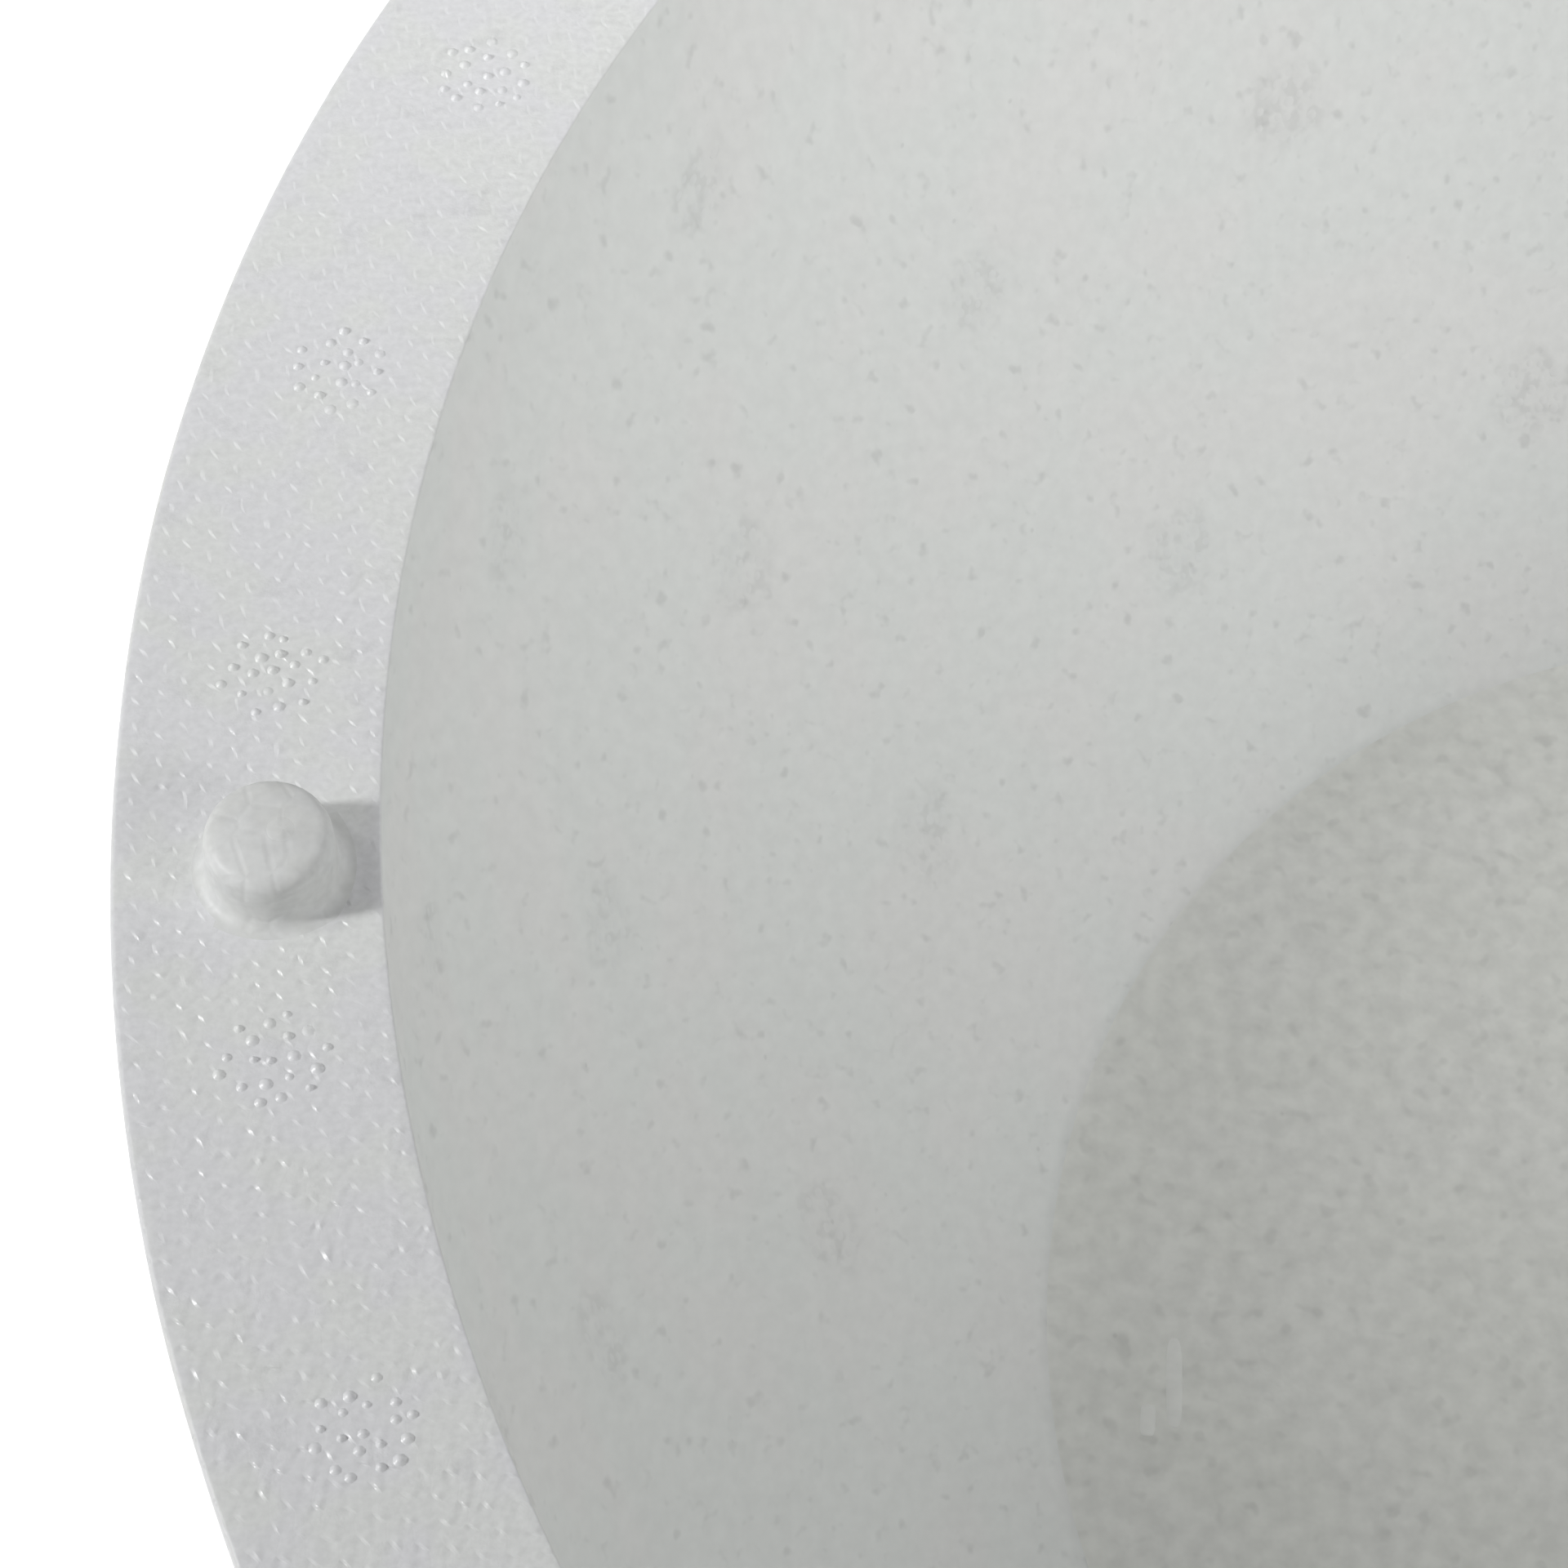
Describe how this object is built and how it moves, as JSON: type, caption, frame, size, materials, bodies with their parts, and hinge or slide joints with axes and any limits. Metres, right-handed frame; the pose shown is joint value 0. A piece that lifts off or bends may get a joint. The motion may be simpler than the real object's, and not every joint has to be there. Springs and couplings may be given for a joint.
{
  "type": "foam half ball",
  "caption": "Hollow half ball moulded in white bead foam: thick wall, flat-floored hollow, flat rim with locating pegs and sockets that join two equal halves.",
  "frame": {"origin": "under the crown of the dome, on the surface that the half ball lies on", "axes": "+Z is the axis of the dome and points out of the opening; the pegs lie on X and the sockets on Y"},
  "size_m": [0.4, 0.4, 0.2063],
  "materials": {
    "white_foam": "dull white moulded bead foam"
  },
  "bodies": {
    "root": {"half_ball": "white_foam"}
  },
  "joints": []
}
